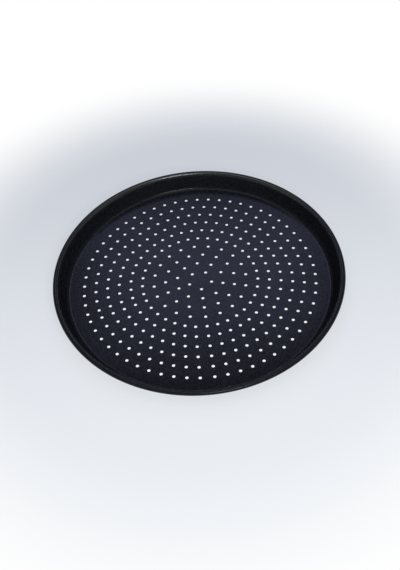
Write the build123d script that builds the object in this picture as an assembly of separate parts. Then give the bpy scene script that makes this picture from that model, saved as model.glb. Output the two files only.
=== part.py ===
from build123d import *
from math import acos, asin, atan2, cos, degrees, hypot, radians, sin, tan
import os

# Perforated pizza pan, in millimetres. +Z is up, and the origin is the centre of the underside.
# The pan is one pressed sheet: a flat round floor punched with rows of holes, a short wall that
# leans outwards, and a rim that is curled outwards and down round a steel wire.

# Driving sizes of the pan
overall_diameter = 400.0
overall_height = 25.5
sheet_thickness = 1.0

# Across the corner where the food sides of the floor and the wall would meet if it were sharp
floor_diameter = 367.0
floor_corner_radius = 5.0

# The rim's wire, the room round it inside the curl, and the gap where its ends meet
wire_diameter = 4.8
wire_clearance = 0.1
wire_end_gap = 1.0

# The curl's free edge stops this short of the wall's underside
lip_gap = 0.4

# The holes lie on rows at an even pitch from the centre, and none is at the centre itself
row_pitch = 16.1
hole_diameter = 4.2

# The sheet was punched in equal sectors. Every row has a hole on the line where a sector starts,
# and these are the holes that one sector adds to each row, from the innermost row out
sector_count = 5
row_sector_holes = (1, 2, 3, 4, 7, 8, 9, 10, 11, 12)

# The line where the first sector starts, in degrees from +X, and how far each sector lies off
# its even place, because the sheet was turned by hand between one punching and the next
first_sector_turn = 58.3
sector_slips = (0.0, -0.3, -1.6, -1.0, -0.2)

# The flats that stand for each round stretch, few enough that the whole pan stays a light model
hole_flats = 6
bend_flats = 2
curl_outside_flats = 10
curl_inside_flats = 7
wire_flats = 6

# Room for the wire sets the curl, and the curl sets where the rim's centre line is
curl_inside_radius = wire_diameter / 2 + wire_clearance
curl_outside_radius = curl_inside_radius + sheet_thickness
rim_radius = overall_diameter / 2 - curl_outside_radius
rim_height = overall_height - curl_outside_radius
rim_centre = (rim_radius, rim_height)

# The wall's food side runs straight from the floor's corner and touches the curl
corner_to_rim_out = rim_radius - floor_diameter / 2
corner_to_rim_up = rim_height - sheet_thickness
corner_to_rim = hypot(corner_to_rim_out, corner_to_rim_up)
wall_lean = degrees(atan2(corner_to_rim_out, corner_to_rim_up) - asin(curl_outside_radius / corner_to_rim))

# The bend between floor and wall turns about one centre on both sides of the sheet
bend_turn = 90 - wall_lean
bend_radius = floor_diameter / 2 - floor_corner_radius * tan(radians(bend_turn / 2))
bend_height = sheet_thickness + floor_corner_radius
bend_centre = (bend_radius, bend_height)

# Where the wall runs into the curl, and where the sheet's edge ends it near the wall, as angles
# round the rim's centre line
curl_start = 180 - wall_lean
curl_turn = 360 - degrees(acos((curl_inside_radius - lip_gap) / curl_outside_radius))


def on_circle(centre, radius, turn):
    """The point at this radius and angle round a centre in the section plane."""
    return centre[0] + radius * cos(radians(turn)), centre[1] + radius * sin(radians(turn))


def round_points(centre, radius, start, turn, flats):
    """The ends of the flats that stand for a round stretch, all on its circle."""
    return [on_circle(centre, radius, start + turn * flat / flats) for flat in range(flats + 1)]


def hollow_points(centre, radius, start, turn, flats):
    """The corners of flats that touch a round hollow from outside, so that what fits it stays clear."""
    flat_turn = turn / flats
    corner_radius = radius / cos(radians(flat_turn / 2))
    corners = [on_circle(centre, corner_radius, start + flat_turn * (flat + 0.5)) for flat in range(flats)]
    return [*corners, on_circle(centre, radius, start + turn)]


def hole_places():
    """Where the holes are, one sector after another and row by row from the centre."""
    for sector, slip in enumerate(sector_slips):
        start = first_sector_turn + sector * 360 / sector_count + slip
        for row, holes in enumerate(row_sector_holes, start=1):
            for step in range(holes):
                turn = start + step * 360 / sector_count / holes
                yield Rot(0, 0, turn) * Pos(row * row_pitch, 0)


def perforated_floor():
    """The flat of the floor, as one sheet with every hole punched through it."""
    edge = Wire(Circle(bend_radius).edges())
    hole = RegularPolygon(hole_diameter / 2, hole_flats, major_radius=False)
    holes = [Wire((place * hole).edges()) for place in hole_places()]
    return extrude(Face(edge, holes), amount=sheet_thickness)


def wall_and_curl():
    """The bend, the leaning wall and the curled rim, turned from one section of the sheet."""
    under_radius = floor_corner_radius + sheet_thickness
    food_side = [
        *round_points(bend_centre, floor_corner_radius, -90, bend_turn, bend_flats),
        *round_points(rim_centre, curl_outside_radius, curl_start, -curl_turn, curl_outside_flats),
    ]
    under_side = [
        *round_points(bend_centre, under_radius, -90, bend_turn, bend_flats),
        *hollow_points(rim_centre, curl_inside_radius, curl_start, -curl_turn, curl_inside_flats),
    ]
    section = make_face(Polyline(*food_side, *reversed(under_side), close=True))
    return revolve(Plane.XZ * section, axis=Axis.Z)


def wire_ring():
    """The rim's wire, bent to a ring whose ends nearly meet."""
    end_gap_turn = degrees(wire_end_gap / rim_radius)
    section = Pos(*rim_centre) * RegularPolygon(wire_diameter / 2, wire_flats)
    return revolve(Plane.XZ * section, axis=Axis.Z, revolution_arc=360 - end_gap_turn)


pieces = {
    "pan_shell": perforated_floor() + wall_and_curl(),
    "rim_wire": wire_ring(),
}

os.makedirs("parts", exist_ok=True)
for name, piece in pieces.items():
    export_step(piece, f"parts/{name}.step")
    print(name, "volume", round(piece.volume), "mm3, size", piece.bounding_box().size)
print("wall lean", round(wall_lean, 1), "degrees, curl turn", round(curl_turn, 1), "degrees")
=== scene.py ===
import logging
from dataclasses import dataclass, field
from enum import Enum
from math import acos, asin, atan2, cos, hypot, pi, radians, sin, tan

import bmesh
import bpy
from mathutils import Matrix, Quaternion, Vector

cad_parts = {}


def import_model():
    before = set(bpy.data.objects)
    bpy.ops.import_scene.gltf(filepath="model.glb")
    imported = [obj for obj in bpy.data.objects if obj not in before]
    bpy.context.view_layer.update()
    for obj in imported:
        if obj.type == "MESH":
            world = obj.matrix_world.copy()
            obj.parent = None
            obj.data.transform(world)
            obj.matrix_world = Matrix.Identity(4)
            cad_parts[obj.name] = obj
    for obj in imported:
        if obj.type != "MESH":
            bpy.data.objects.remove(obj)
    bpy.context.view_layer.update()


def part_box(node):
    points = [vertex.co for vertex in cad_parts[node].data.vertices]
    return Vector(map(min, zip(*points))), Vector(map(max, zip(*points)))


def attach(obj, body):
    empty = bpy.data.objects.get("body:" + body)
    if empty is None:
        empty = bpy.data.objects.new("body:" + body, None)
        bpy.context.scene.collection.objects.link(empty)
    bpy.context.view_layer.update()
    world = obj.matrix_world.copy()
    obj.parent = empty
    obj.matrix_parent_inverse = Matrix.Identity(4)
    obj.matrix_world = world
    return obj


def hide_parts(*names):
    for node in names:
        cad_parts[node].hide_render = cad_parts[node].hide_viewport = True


log = logging.getLogger("pizza_pan")

MM = 0.001
TURN = 2 * pi
Colour = tuple[float, float, float]
NodeOutput = bpy.types.NodeSocket

# Nearly all of a noise pattern lies between these values
NOISE_LOW, NOISE_HIGH = 0.3, 0.7


class SheetFace(Enum):
    """The two faces of the pressed sheet's flat floor."""

    FOOD = "food"
    UNDER = "under"


class Ramp(Enum):
    """How a value goes from one end of its range to the other, by Blender's names for it."""

    STRAIGHT = "LINEAR"
    EASED = "SMOOTHSTEP"


class Socket(Enum):
    """The shader sockets that a finish sets, by Blender's names for them."""

    COLOUR = "Base Color"
    ROUGHNESS = "Roughness"
    METAL = "Metallic"
    INDEX = "IOR"
    GLOSS = "Specular IOR Level"
    NORMAL = "Normal"


class NodeGraph:
    """Adds nodes to one material or world and joins them up."""

    def __init__(self, tree: bpy.types.NodeTree) -> None:
        """Empties the tree, so that it holds only what is added here."""
        self.tree = tree
        tree.nodes.clear()

    def add(self, kind: str, **values: object) -> bpy.types.Node:
        """Adds a node.

        Args:
            kind: The node's type, such as ShaderNodeTexNoise.
            values: Properties of the node by name.

        Returns:
            The new node.
        """
        node = self.tree.nodes.new(kind)
        for name, value in values.items():
            setattr(node, name, value)
        return node

    def join(self, source: NodeOutput, target: bpy.types.NodeSocket) -> None:
        """Links an output to an input."""
        self.tree.links.new(source, target)

    def noise(self, coordinates: NodeOutput, size: float, detail: float = 3.0) -> NodeOutput:
        """Adds a noise pattern.

        Args:
            coordinates: What places the pattern.
            size: The size of its blotches in metres.
            detail: How many finer layers it has.

        Returns:
            The pattern's value, from 0 to 1.
        """
        node = self.add("ShaderNodeTexNoise")
        node.inputs["Scale"].default_value = 1 / size
        node.inputs["Detail"].default_value = detail
        self.join(coordinates, node.inputs["Vector"])
        return node.outputs["Fac"]

    def spread(self, value: NodeOutput, low: float, high: float) -> NodeOutput:
        """Spreads a noise pattern's values out over the range from low to high."""
        return self.map_range(value, Ramp.STRAIGHT, NOISE_LOW, NOISE_HIGH, low, high)

    def ease(self, value: NodeOutput, start: float, end: float,
             low: float = 0.0, high: float = 1.0) -> NodeOutput:
        """Turns a value into one that goes smoothly from low at the start to high at the end."""
        return self.map_range(value, Ramp.EASED, start, end, low, high)

    def map_range(self, value: NodeOutput, ramp: Ramp, start: float, end: float,
                  low: float, high: float) -> NodeOutput:
        """Turns one range of values into another, and keeps to its ends outside it.

        Args:
            value: The value that it follows.
            ramp: How the result goes from low to high.
            start: The value at which it leaves low.
            end: The value at which it reaches high.
            low: The result up to the start.
            high: The result from the end on.

        Returns:
            The result.
        """
        node = self.add("ShaderNodeMapRange", interpolation_type=ramp.value)
        for name, number in (("From Min", start), ("From Max", end), ("To Min", low), ("To Max", high)):
            node.inputs[name].default_value = number
        self.join(value, node.inputs["Value"])
        return node.outputs["Result"]

    def axis_distance(self, place: NodeOutput) -> NodeOutput:
        """Measures how far a place is from the upright axis through the origin.

        Args:
            place: The place.

        Returns:
            The distance in metres.
        """
        flat = self.add("ShaderNodeVectorMath", operation="MULTIPLY")
        flat.inputs[1].default_value = (1, 1, 0)
        self.join(place, flat.inputs[0])
        distance = self.add("ShaderNodeVectorMath", operation="LENGTH")
        self.join(flat.outputs["Vector"], distance.inputs[0])
        return distance.outputs["Value"]

    def seen_rays(self) -> NodeOutput:
        """Tells whether a ray shows what it meets, to the camera, in a reflection or through glass.

        Returns:
            1 for such a ray and 0 for any other.
        """
        ray = self.add("ShaderNodeLightPath").outputs
        mirrored = self.sum_up("MAXIMUM", ray["Is Camera Ray"], ray["Is Glossy Ray"])
        return self.sum_up("MAXIMUM", mirrored, ray["Is Transmission Ray"])

    def part(self, vector: NodeOutput, axis: str) -> NodeOutput:
        """Takes one part of a vector.

        Args:
            vector: The vector.
            axis: The part's axis, X, Y or Z.

        Returns:
            The part along that axis.
        """
        node = self.add("ShaderNodeSeparateXYZ")
        self.join(vector, node.inputs["Vector"])
        return node.outputs[axis]

    def sum_up(self, operation: str, *values: NodeOutput | float) -> NodeOutput:
        """Works out one number from others.

        Args:
            operation: The sum, such as MULTIPLY or MAXIMUM.
            values: Its terms, each an output or a plain number.

        Returns:
            The result.
        """
        node = self.add("ShaderNodeMath", operation=operation)
        for value, socket in zip(values, node.inputs):
            if isinstance(value, bpy.types.NodeSocket):
                self.join(value, socket)
            else:
                socket.default_value = value
        return node.outputs["Value"]

    def blend(self, factor: NodeOutput, first: NodeOutput | Colour,
              second: NodeOutput | Colour) -> NodeOutput:
        """Blends two colours.

        Args:
            factor: How much of the second there is.
            first: The colour where the factor is 0.
            second: The colour where the factor is 1.

        Returns:
            The blended colour.
        """
        node = self.add("ShaderNodeMix", data_type="RGBA")
        sockets = {s.identifier: s for s in (*node.inputs, *node.outputs)}
        for name, colour in (("A_Color", first), ("B_Color", second)):
            if isinstance(colour, bpy.types.NodeSocket):
                self.join(colour, sockets[name])
            else:
                sockets[name].default_value = (*colour, 1)
        self.join(factor, sockets["Factor_Float"])
        return sockets["Result_Color"]

    def mix(self, share: NodeOutput, first: NodeOutput, second: NodeOutput) -> NodeOutput:
        """Mixes two surfaces.

        Args:
            share: How much of the second there is.
            first: The surface where the share is 0.
            second: The surface where the share is 1.

        Returns:
            The mixed surface.
        """
        node = self.add("ShaderNodeMixShader")
        for source, socket in zip((share, first, second), node.inputs):
            self.join(source, socket)
        return node.outputs["Shader"]

    def bump(self, height: NodeOutput, depth: float, under: NodeOutput | None = None) -> NodeOutput:
        """Adds relief to a surface.

        Args:
            height: The relief's pattern, from 0 to 1.
            depth: How deep it is, in metres.
            under: A coarser relief that this one lies on, if any.

        Returns:
            The surface's normal.
        """
        node = self.add("ShaderNodeBump")
        node.inputs["Distance"].default_value = depth
        self.join(height, node.inputs["Height"])
        if under is not None:
            self.join(under, node.inputs["Normal"])
        return node.outputs["Normal"]


def new_material(name: str) -> tuple[bpy.types.Material, NodeGraph]:
    """Makes an empty material.

    Args:
        name: Its name.

    Returns:
        The material, and the graph that its nodes go into.
    """
    material = bpy.data.materials.new(name)
    material.use_nodes = True
    return material, NodeGraph(material.node_tree)


def add_object(name: str, data: bpy.types.ID) -> bpy.types.Object:
    """Puts a new object in the scene.

    Args:
        name: Its name.
        data: Its mesh, lamp or camera.

    Returns:
        The new object, at the origin.
    """
    made = bpy.data.objects.new(name, data)
    bpy.context.scene.collection.objects.link(made)
    return made


@dataclass(frozen=True)
class GlossStep:
    """A change of the coating's gloss, between two distances from the pan's axis."""

    start: float
    end: float
    change: float


@dataclass(frozen=True)
class NonstickCoating:
    """The dark baked coating on both faces of the sheet, satin, with a fine grain.

    It is glossiest on the rim's inner flank and dullest on the wall.
    """

    name: str = "nonstick_coating"
    dark: Colour = (0.0014, 0.0016, 0.0024)
    light: Colour = (0.0155, 0.0163, 0.0209)
    refraction: float = 1.45
    floor_gloss: float = 0.155
    gloss_steps: tuple[GlossStep, ...] = (
        GlossStep(184.0 * MM, 186.0 * MM, -0.095),
        GlossStep(191.5 * MM, 193.6 * MM, 0.90),
        GlossStep(194.4 * MM, 195.3 * MM, -0.80),
    )
    roughness: tuple[float, float] = (0.20, 0.24)
    cloud_size: float = 45 * MM
    grain_size: float = 2.1 * MM
    grain_depth: float = 0.03 * MM
    peel_size: float = 5.0 * MM
    peel_detail: float = 1.0
    peel_depth: float = 0.06 * MM

    def gloss(self, graph: NodeGraph, distance: NodeOutput) -> NodeOutput | float:
        """Adds up the gloss from the floor out over the wall and the rim.

        Args:
            graph: The coating's nodes.
            distance: The distance from the pan's axis.

        Returns:
            The gloss at that distance.
        """
        level: NodeOutput | float = self.floor_gloss
        for step in self.gloss_steps:
            rise = graph.ease(distance, step.start, step.end, 0.0, step.change)
            level = graph.sum_up("ADD", level, rise)
        return level

    def material(self) -> bpy.types.Material:
        """Makes the coating's material.

        Returns:
            The new material.
        """
        material, graph = new_material(self.name)
        place = graph.add("ShaderNodeTexCoord").outputs["Object"]
        shader = graph.add("ShaderNodeBsdfPrincipled")
        output = graph.add("ShaderNodeOutputMaterial")
        grain = graph.noise(place, self.grain_size)
        peel = graph.noise(place, self.peel_size, self.peel_detail)
        cloud = graph.noise(place, self.cloud_size)
        colour = graph.blend(graph.spread(grain, 0.0, 1.0), self.dark, self.light)
        relief = graph.bump(grain, self.grain_depth, under=graph.bump(peel, self.peel_depth))
        shader.inputs[Socket.INDEX.value].default_value = self.refraction
        graph.join(self.gloss(graph, graph.axis_distance(place)), shader.inputs[Socket.GLOSS.value])
        graph.join(colour, shader.inputs[Socket.COLOUR.value])
        graph.join(graph.spread(cloud, *self.roughness), shader.inputs[Socket.ROUGHNESS.value])
        graph.join(relief, shader.inputs[Socket.NORMAL.value])
        graph.join(shader.outputs["BSDF"], output.inputs["Surface"])
        return material


@dataclass(frozen=True)
class DrawnSteel:
    """The bare steel of the rim's wire, with fine marks from drawing."""

    name: str = "drawn_steel"
    dark: Colour = (0.36, 0.36, 0.37)
    light: Colour = (0.56, 0.57, 0.59)
    roughness: tuple[float, float] = (0.3, 0.42)
    mark_size: float = 0.6 * MM
    mark_depth: float = 0.01 * MM

    def material(self) -> bpy.types.Material:
        """Makes the wire's material.

        Returns:
            The new material.
        """
        material, graph = new_material(self.name)
        place = graph.add("ShaderNodeTexCoord").outputs["Object"]
        shader = graph.add("ShaderNodeBsdfPrincipled")
        output = graph.add("ShaderNodeOutputMaterial")
        marks = graph.noise(place, self.mark_size)
        shader.inputs[Socket.METAL.value].default_value = 1.0
        colour = graph.blend(graph.spread(marks, 0.0, 1.0), self.dark, self.light)
        graph.join(colour, shader.inputs[Socket.COLOUR.value])
        graph.join(graph.spread(marks, *self.roughness), shader.inputs[Socket.ROUGHNESS.value])
        graph.join(graph.bump(marks, self.mark_depth), shader.inputs[Socket.NORMAL.value])
        graph.join(shader.outputs["BSDF"], output.inputs["Surface"])
        return material


class SectionPen:
    """Draws a section in the plane of X and Z, as a chain of edges that grows from its tip."""

    def __init__(self, mesh: bmesh.types.BMesh, start: Vector) -> None:
        """Puts the pen's tip on its first point.

        Args:
            mesh: The mesh that it draws in.
            start: The first point.
        """
        self.mesh = mesh
        self.tip = mesh.verts.new(start)
        self.chain: list[bmesh.types.BMVert | bmesh.types.BMEdge] = [self.tip]

    def line(self, end: Vector) -> None:
        """Draws a straight run.

        Args:
            end: The point where it ends.
        """
        made = bmesh.ops.extrude_vert_indiv(self.mesh, verts=[self.tip])
        self.tip = made["verts"][0]
        self.tip.co = end
        self.chain += [*made["edges"], self.tip]

    def arc(self, centre: Vector, turn: float, steps: int) -> None:
        """Draws a round run.

        Args:
            centre: The point that it goes round.
            turn: How far it goes, in radians from +X towards +Z.
            steps: How many straight edges it has.
        """
        step = Matrix.Rotation(-turn / steps, 4, "Y")
        around = Matrix.Translation(centre) @ step @ Matrix.Translation(-centre)
        for _ in range(steps):
            self.line(around @ self.tip.co)

    def spin(self, axis_place: Vector, steps: int) -> None:
        """Turns the whole section once round the upright axis through a place."""
        bmesh.ops.spin(self.mesh, geom=self.chain, cent=axis_place, axis=(0, 0, 1), angle=TURN,
                       steps=steps, use_merge=True)


def finish_piece(mesh: bmesh.types.BMesh, name: str, material: bpy.types.Material,
                 sharp: float) -> bpy.types.Object:
    """Makes a scene object of a finished mesh.

    Args:
        mesh: The mesh, which is freed.
        name: The piece's name.
        material: Its finish.
        sharp: Edges that turn by more than this many radians stay crisp.

    Returns:
        The new object, at the origin.
    """
    bmesh.ops.recalc_face_normals(mesh, faces=mesh.faces)
    data = bpy.data.meshes.new(name)
    mesh.to_mesh(data)
    mesh.free()
    data.shade_smooth()
    data.set_sharp_from_angle(angle=sharp)
    data.materials.append(material)
    return add_object(name, data)


@dataclass
class RimSection:
    """The sizes of the section through the wall and the wired rim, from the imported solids' box."""

    sheet: float = 1.0 * MM
    floor_diameter: float = 367 * MM
    floor_corner: float = 5.0 * MM
    wire: float = 4.8 * MM
    wire_room: float = 0.1 * MM
    lip_gap: float = 0.4 * MM
    outer_radius: float = field(init=False)
    height: float = field(init=False)

    def __post_init__(self) -> None:
        """Reads the pan's reach and height from the frame."""
        low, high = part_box("pan_shell")
        self.outer_radius = min(high.x, high.y, -low.x, -low.y)
        self.height = high.z

    @property
    def curl_inside(self) -> float:
        """The radius of the room inside the curl."""
        return self.wire / 2 + self.wire_room

    @property
    def curl_outside(self) -> float:
        """The radius of the curl's outer face."""
        return self.curl_inside + self.sheet

    @property
    def rim_centre(self) -> Vector:
        """The middle of the curl, in the section."""
        return Vector((self.outer_radius - self.curl_outside, 0, self.height - self.curl_outside))

    @property
    def wall_lean(self) -> float:
        """Works out the wall's lean from where the floor ends and the curl begins.

        Returns:
            How far it leans outwards from upright, in radians.
        """
        out = self.rim_centre.x - self.floor_diameter / 2
        up = self.rim_centre.z - self.sheet
        return atan2(out, up) - asin(self.curl_outside / hypot(out, up))

    @property
    def bend_turn(self) -> float:
        """How far the sheet turns from the floor to the wall."""
        return pi / 2 - self.wall_lean

    @property
    def bend_centre(self) -> Vector:
        """The middle of the bend between floor and wall, in the section."""
        radius = self.floor_diameter / 2 - self.floor_corner * tan(self.bend_turn / 2)
        return Vector((radius, 0, self.sheet + self.floor_corner))

    @property
    def curl_turn(self) -> float:
        """How far the sheet goes round the wire before its edge comes near the wall."""
        return TURN - acos((self.curl_inside - self.lip_gap) / self.curl_outside)


@dataclass
class PanShell:
    """The pan itself: one sheet, pressed, punched and curled.

    Each of sector_holes is how many holes one sector has on a row, from the innermost row out. The
    first sector's line is given in degrees from +X, and how far each sector slipped in degrees too.
    The floor's last flat_edge is turned together with the bend, so that its shading stays flat.
    """

    section: RimSection
    coating: NonstickCoating
    row_pitch: float = 16.1 * MM
    hole_diameter: float = 4.2 * MM
    sector_holes: tuple[int, ...] = (1, 2, 3, 4, 7, 8, 9, 10, 11, 12)
    first_sector: float = 58.3
    sector_slips: tuple[float, ...] = (0.0, -0.3, -1.6, -1.0, -0.2)
    entry_roll: float = 0.22 * MM
    exit_edge: float = 0.08 * MM
    flat_edge: float = 0.5 * MM
    hole_steps: int = 16
    round_steps: int = 300
    bend_steps: int = 7
    curl_steps: int = 26
    wall_runs: int = 3
    sharp: float = radians(30)

    @property
    def sector_turn(self) -> float:
        """The angle that one sector takes."""
        return TURN / len(self.sector_slips)

    def punch(self, mesh: bmesh.types.BMesh, place: Vector) -> None:
        """Makes one hole's wall, with the edge that the punch rolled in and the one it came out by.

        Args:
            mesh: The mesh that gets the wall.
            place: The hole's middle, at the level of the underside.
        """
        radius = self.hole_diameter / 2
        top = self.section.sheet
        pen = SectionPen(mesh, place + Vector((radius + self.entry_roll, 0, top)))
        pen.line(place + Vector((radius, 0, top - self.entry_roll)))
        pen.line(place + Vector((radius, 0, self.exit_edge)))
        pen.line(place + Vector((radius + self.exit_edge, 0, 0)))
        pen.spin(place, self.hole_steps)

    def punch_sector(self) -> bpy.types.Mesh:
        """Makes one sector's holes, row by row from the centre.

        Returns:
            The holes' walls, with the sector's first line along +X.
        """
        mesh = bmesh.new()
        for row, holes in enumerate(self.sector_holes, start=1):
            for step in range(holes):
                turn = self.sector_turn * step / holes
                self.punch(mesh, Vector((cos(turn), sin(turn), 0)) * row * self.row_pitch)
        sector = bpy.data.meshes.new("punched_sector")
        mesh.to_mesh(sector)
        mesh.free()
        return sector

    def punch_floor(self, mesh: bmesh.types.BMesh) -> None:
        """Adds every sector's holes, each sector where the hand-turned sheet was punched.

        Args:
            mesh: The mesh that gets the holes' walls.
        """
        sector = self.punch_sector()
        for number, slip in enumerate(self.sector_slips):
            turned = sector.copy()
            start = radians(self.first_sector + slip) + number * self.sector_turn
            turned.transform(Matrix.Rotation(start, 4, "Z"))
            mesh.from_mesh(turned)
            bpy.data.meshes.remove(turned)
        bpy.data.meshes.remove(sector)

    def wall(self, mesh: bmesh.types.BMesh) -> None:
        """Makes the bend, the leaning wall and the curled rim.

        Args:
            mesh: The mesh that gets them. Its two open edges are the floor's, above and below.
        """
        cut = self.section
        bend, rim = cut.bend_centre, cut.rim_centre
        pen = SectionPen(mesh, Vector((bend.x - self.flat_edge, 0, cut.sheet)))
        pen.line(Vector((bend.x, 0, cut.sheet)))
        pen.arc(bend, cut.bend_turn, self.bend_steps)
        upwards = Vector((sin(cut.wall_lean), 0, cos(cut.wall_lean)))
        foot = pen.tip.co.copy()
        run = (rim - foot).dot(upwards)
        for step in range(1, self.wall_runs + 1):
            pen.line(foot + upwards * run * step / self.wall_runs)
        pen.arc(rim, -cut.curl_turn, self.curl_steps)
        pen.line(rim + (pen.tip.co - rim) * cut.curl_inside / cut.curl_outside)
        pen.arc(rim, cut.curl_turn, self.curl_steps)
        under_foot = foot + Vector((cos(cut.wall_lean), 0, -sin(cut.wall_lean))) * cut.sheet
        for step in reversed(range(self.wall_runs)):
            pen.line(under_foot + upwards * run * step / self.wall_runs)
        pen.arc(bend, -cut.bend_turn, self.bend_steps)
        pen.line(Vector((bend.x - self.flat_edge, 0, 0)))
        pen.spin(Vector(), self.round_steps)

    def fill(self, mesh: bmesh.types.BMesh, face: SheetFace) -> None:
        """Closes one face of the floor, between its round edge and the holes.

        Args:
            mesh: The mesh, with the wall and all the holes in it.
            face: Which face of the floor to close.
        """
        level = self.section.sheet if face is SheetFace.FOOD else 0.0
        reach = self.exit_edge / 2
        edges = [e for e in mesh.edges
                 if e.is_boundary and all(abs(v.co.z - level) < reach for v in e.verts)]
        bmesh.ops.triangle_fill(mesh, edges=edges, use_beauty=True, use_dissolve=False, normal=(0, 0, 1))

    def build(self) -> bpy.types.Object:
        """Makes the shell.

        Returns:
            The finished piece, in the place of the solid that it stands for.
        """
        mesh = bmesh.new()
        self.wall(mesh)
        self.punch_floor(mesh)
        for face in SheetFace:
            self.fill(mesh, face)
        piece = finish_piece(mesh, "pressed_shell", self.coating.material(), self.sharp)
        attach(piece, "root")
        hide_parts("pan_shell")
        return piece


@dataclass
class RimWire:
    """The steel wire inside the curled rim, bent to a ring whose ends nearly meet."""

    section: RimSection
    steel: DrawnSteel
    end_gap: float = 1.0 * MM
    round_steps: int = 240
    wire_steps: int = 14
    sharp: float = radians(50)

    def build(self) -> bpy.types.Object:
        """Makes the wire.

        Returns:
            The finished piece, in the place of the solid that it stands for.
        """
        mesh = bmesh.new()
        centre = self.section.rim_centre
        upright = Matrix.Translation(centre) @ Matrix.Rotation(pi / 2, 4, "X")
        bmesh.ops.create_circle(mesh, cap_ends=True, segments=self.wire_steps,
                                radius=self.section.wire / 2, matrix=upright)
        bmesh.ops.spin(mesh, geom=mesh.faces[:], cent=(0, 0, 0), axis=(0, 0, 1),
                       angle=TURN - self.end_gap / centre.x, steps=self.round_steps, use_merge=False)
        piece = finish_piece(mesh, "rim_wire_ring", self.steel.material(), self.sharp)
        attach(piece, "root")
        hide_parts("rim_wire")
        return piece


@dataclass
class SoftLamp:
    """A plain soft lamp, aimed at the pan.

    Its turn is in degrees from +X, and its height in degrees above the floor.
    """

    name: str
    turn: float
    height: float
    distance: float
    size: tuple[float, float]
    watts: float
    colour: Colour = (1.0, 1.0, 1.0)

    def build(self) -> None:
        """Makes the lamp."""
        data = bpy.data.lights.new(self.name, "AREA")
        data.shape = "RECTANGLE"
        data.size, data.size_y = self.size
        data.energy = self.watts
        data.color = self.colour
        lamp = add_object(self.name, data)
        turn, height = radians(self.turn), radians(self.height)
        away = Vector((cos(turn) * cos(height), sin(turn) * cos(height), sin(height)))
        lamp.location = away * self.distance
        lamp.rotation_euler = away.to_track_quat("Z", "Y").to_euler()


@dataclass
class StudioFloor:
    """The plain pale surface that the pan lies on.

    It is a little brighter towards the window side and darker towards the far side, a painted falloff of
    the window's light, and passes into the horizon's white away from the pan. For rays that show it,
    most of its brightness near the pan is its own light. Under the pan all of it is, painted a little
    brighter
    still: painted light, so that the pan's shadow doesn't darken what shows through the holes.
    """

    horizon: Colour
    matt: Colour = (0.87, 0.89, 0.94)
    # The two ends of the floor's own light are painted: brighter on the window side, darker on the far
    # side, a painted falloff of the window's light
    window_side_painted_light: Colour = (0.875, 0.905, 0.935)
    far_side_painted_shade: Colour = (0.59, 0.625, 0.68)
    fade_half: float = 0.34
    near_reach: float = 0.27
    far_reach: float = 0.48
    half_width: float = 40.0
    drop: float = 0.4 * MM
    own_light_share: float = 0.75
    # Extra own light painted on the floor under the pan, where the pan's shadow falls
    painted_light_under_pan: float = 0.13

    def build(self, clear_radius: float) -> None:
        """Makes the floor, which isn't part of the object.

        Args:
            clear_radius: Within this distance of the axis the floor lets light through from below.
        """
        mesh = bmesh.new()
        bmesh.ops.create_grid(mesh, x_segments=1, y_segments=1, size=self.half_width,
                              matrix=Matrix.Translation((0, 0, -self.drop)))
        data = bpy.data.meshes.new("studio_floor")
        mesh.to_mesh(data)
        mesh.free()
        data.materials.append(self.material(clear_radius))
        floor = add_object("studio_floor", data)

    def material(self, clear_radius: float) -> bpy.types.Material:
        """Makes the floor's surface, clear from below so that the pan's underside can be seen and lit.

        Args:
            clear_radius: Within this distance of the axis light comes through from below.

        Returns:
            The new material.
        """
        material, graph = new_material("studio_floor")
        output = graph.add("ShaderNodeOutputMaterial")
        matt = graph.add("ShaderNodeBsdfDiffuse")
        own_light = graph.add("ShaderNodeEmission")
        clear = graph.add("ShaderNodeBsdfTransparent")
        ray = graph.add("ShaderNodeLightPath").outputs
        geometry = graph.add("ShaderNodeNewGeometry").outputs
        distance = graph.axis_distance(geometry["Position"])
        matt.inputs["Color"].default_value = (*self.matt, 1)
        # Painted falloff: the own light goes from the window side's painted light to the far side's
        # painted shade, and is greyer near the pan than the white further off
        fade = graph.ease(graph.part(geometry["Position"], "Y"), -self.fade_half, self.fade_half)
        near = graph.blend(fade, self.window_side_painted_light, self.far_side_painted_shade)
        away = graph.ease(distance, self.near_reach, self.far_reach)
        graph.join(graph.blend(away, near, self.horizon), own_light.inputs["Color"])
        # Under the pan the floor shows only its own light, painted a little brighter: painted light
        # where the pan's shadow falls
        under_pan = graph.sum_up("LESS_THAN", distance, clear_radius)
        share_beside = graph.ease(distance, self.near_reach, self.far_reach, self.own_light_share, 1.0)
        share = graph.sum_up("MAXIMUM", share_beside, under_pan)
        strength = graph.sum_up("MULTIPLY_ADD", under_pan, self.painted_light_under_pan, 1.0)
        graph.join(strength, own_light.inputs["Strength"])
        shown_share = graph.sum_up("MULTIPLY", share, graph.seen_rays())
        seen = graph.mix(shown_share, matt.outputs["BSDF"], own_light.outputs["Emission"])
        unseen_under_pan = graph.sum_up("SUBTRACT", under_pan, ray["Is Camera Ray"])
        open_below = graph.sum_up("MAXIMUM", unseen_under_pan, geometry["Backfacing"])
        graph.join(graph.mix(open_below, seen, clear.outputs["BSDF"]), output.inputs["Surface"])
        return material


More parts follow.
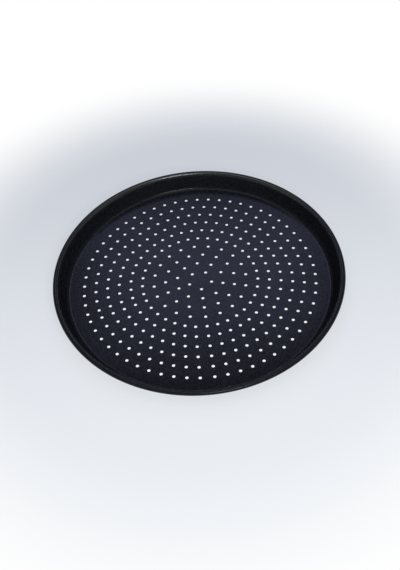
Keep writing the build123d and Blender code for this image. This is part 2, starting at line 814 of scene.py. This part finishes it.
@dataclass
class Surroundings:
    """The room round the pan, even, and dimmer before and behind the viewer.

    At the horizon it passes into white for rays that show it. Below the horizon it is white for every
    ray, which lights the pan's underside.
    """

    horizon: Colour = (1.0, 1.0, 1.0)
    room: Colour = (0.18, 0.19, 0.205)
    ends: Colour = (0.10, 0.107, 0.12)
    horizon_from: float = 0.07
    horizon_to: float = 0.14
    ends_from: float = 0.15
    ends_to: float = 0.6

    def build(self) -> None:
        """Makes the world's light."""
        world = bpy.data.worlds.new("surroundings")
        bpy.context.scene.world = world
        world.use_nodes = True
        graph = NodeGraph(world.node_tree)
        direction = graph.add("ShaderNodeTexCoord").outputs["Generated"]
        lengthwise = graph.sum_up("ABSOLUTE", graph.part(direction, "Y"))
        above = graph.blend(graph.ease(lengthwise, self.ends_from, self.ends_to), self.room, self.ends)
        height = graph.part(direction, "Z")
        fall = graph.ease(height, self.horizon_from, self.horizon_to, 1.0, 0.0)
        pale = graph.sum_up("MAXIMUM", graph.seen_rays(), graph.sum_up("LESS_THAN", height, 0.0))
        background = graph.add("ShaderNodeBackground")
        white = graph.sum_up("MULTIPLY", fall, pale)
        graph.join(graph.blend(white, above, self.horizon), background.inputs["Color"])
        output = graph.add("ShaderNodeOutputWorld")
        graph.join(background.outputs["Background"], output.inputs["Surface"])


@dataclass
class PhotoCamera:
    """The camera, where the photograph's was, as fitted to the rows of holes and the rim's outline."""

    place: tuple[float, float, float] = (0.00713, -0.70605, 0.83706)
    aim: tuple[float, float, float] = (0.04761, -0.01303, 0.0)
    roll: float = -2.077
    lens: float = 49.523
    shift: tuple[float, float] = (-0.0614, 0.0)

    def build(self) -> None:
        """Makes the camera and gives it to the scene."""
        data = bpy.data.cameras.new("photo_camera")
        data.lens = self.lens
        data.shift_x, data.shift_y = self.shift
        camera = add_object("photo_camera", data)
        look = Vector(self.aim) - Vector(self.place)
        roll = Quaternion((0, 0, 1), radians(self.roll))
        camera.location = self.place
        camera.rotation_mode = "QUATERNION"
        camera.rotation_quaternion = look.to_track_quat("-Z", "Y") @ roll
        bpy.context.scene.camera = camera


@dataclass
class Studio:
    """The plain pale room that the pan is shown in, with its lamps and its camera."""

    surroundings: Surroundings = field(default_factory=Surroundings)
    camera: PhotoCamera = field(default_factory=PhotoCamera)
    lamps: tuple[SoftLamp, ...] = (
        SoftLamp("window_lamp", turn=-78, height=34, distance=2.1, size=(0.95, 0.34), watts=18,
                 colour=(0.97, 0.98, 1.0)),
        SoftLamp("far_lamp", turn=89.3, height=49.1, distance=2.6, size=(1.1, 0.62), watts=7.5,
                 colour=(0.55, 0.60, 1.0)),
        SoftLamp("overhead_lamp", turn=-90, height=80, distance=2.6, size=(4.0, 3.0), watts=35),
    )

    def build(self, pan_radius: float) -> None:
        """Makes everything round the pan.

        Args:
            pan_radius: The radius of the pan's flat floor.
        """
        bpy.context.scene.view_settings.view_transform = "Standard"
        StudioFloor(self.surroundings.horizon).build(pan_radius)
        self.surroundings.build()
        self.camera.build()
        for lamp in self.lamps:
            lamp.build()


def main() -> None:
    """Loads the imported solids, dresses them and sets the scene round them."""
    logging.basicConfig(level=logging.INFO, format="%(name)s: %(message)s")
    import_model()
    section = RimSection()
    for maker in (PanShell(section, NonstickCoating()), RimWire(section, DrawnSteel())):
        piece = maker.build()
        log.info("%s has %d faces", piece.name, len(piece.data.polygons))
    Studio().build(section.bend_centre.x)


if __name__ == "__main__":
    main()
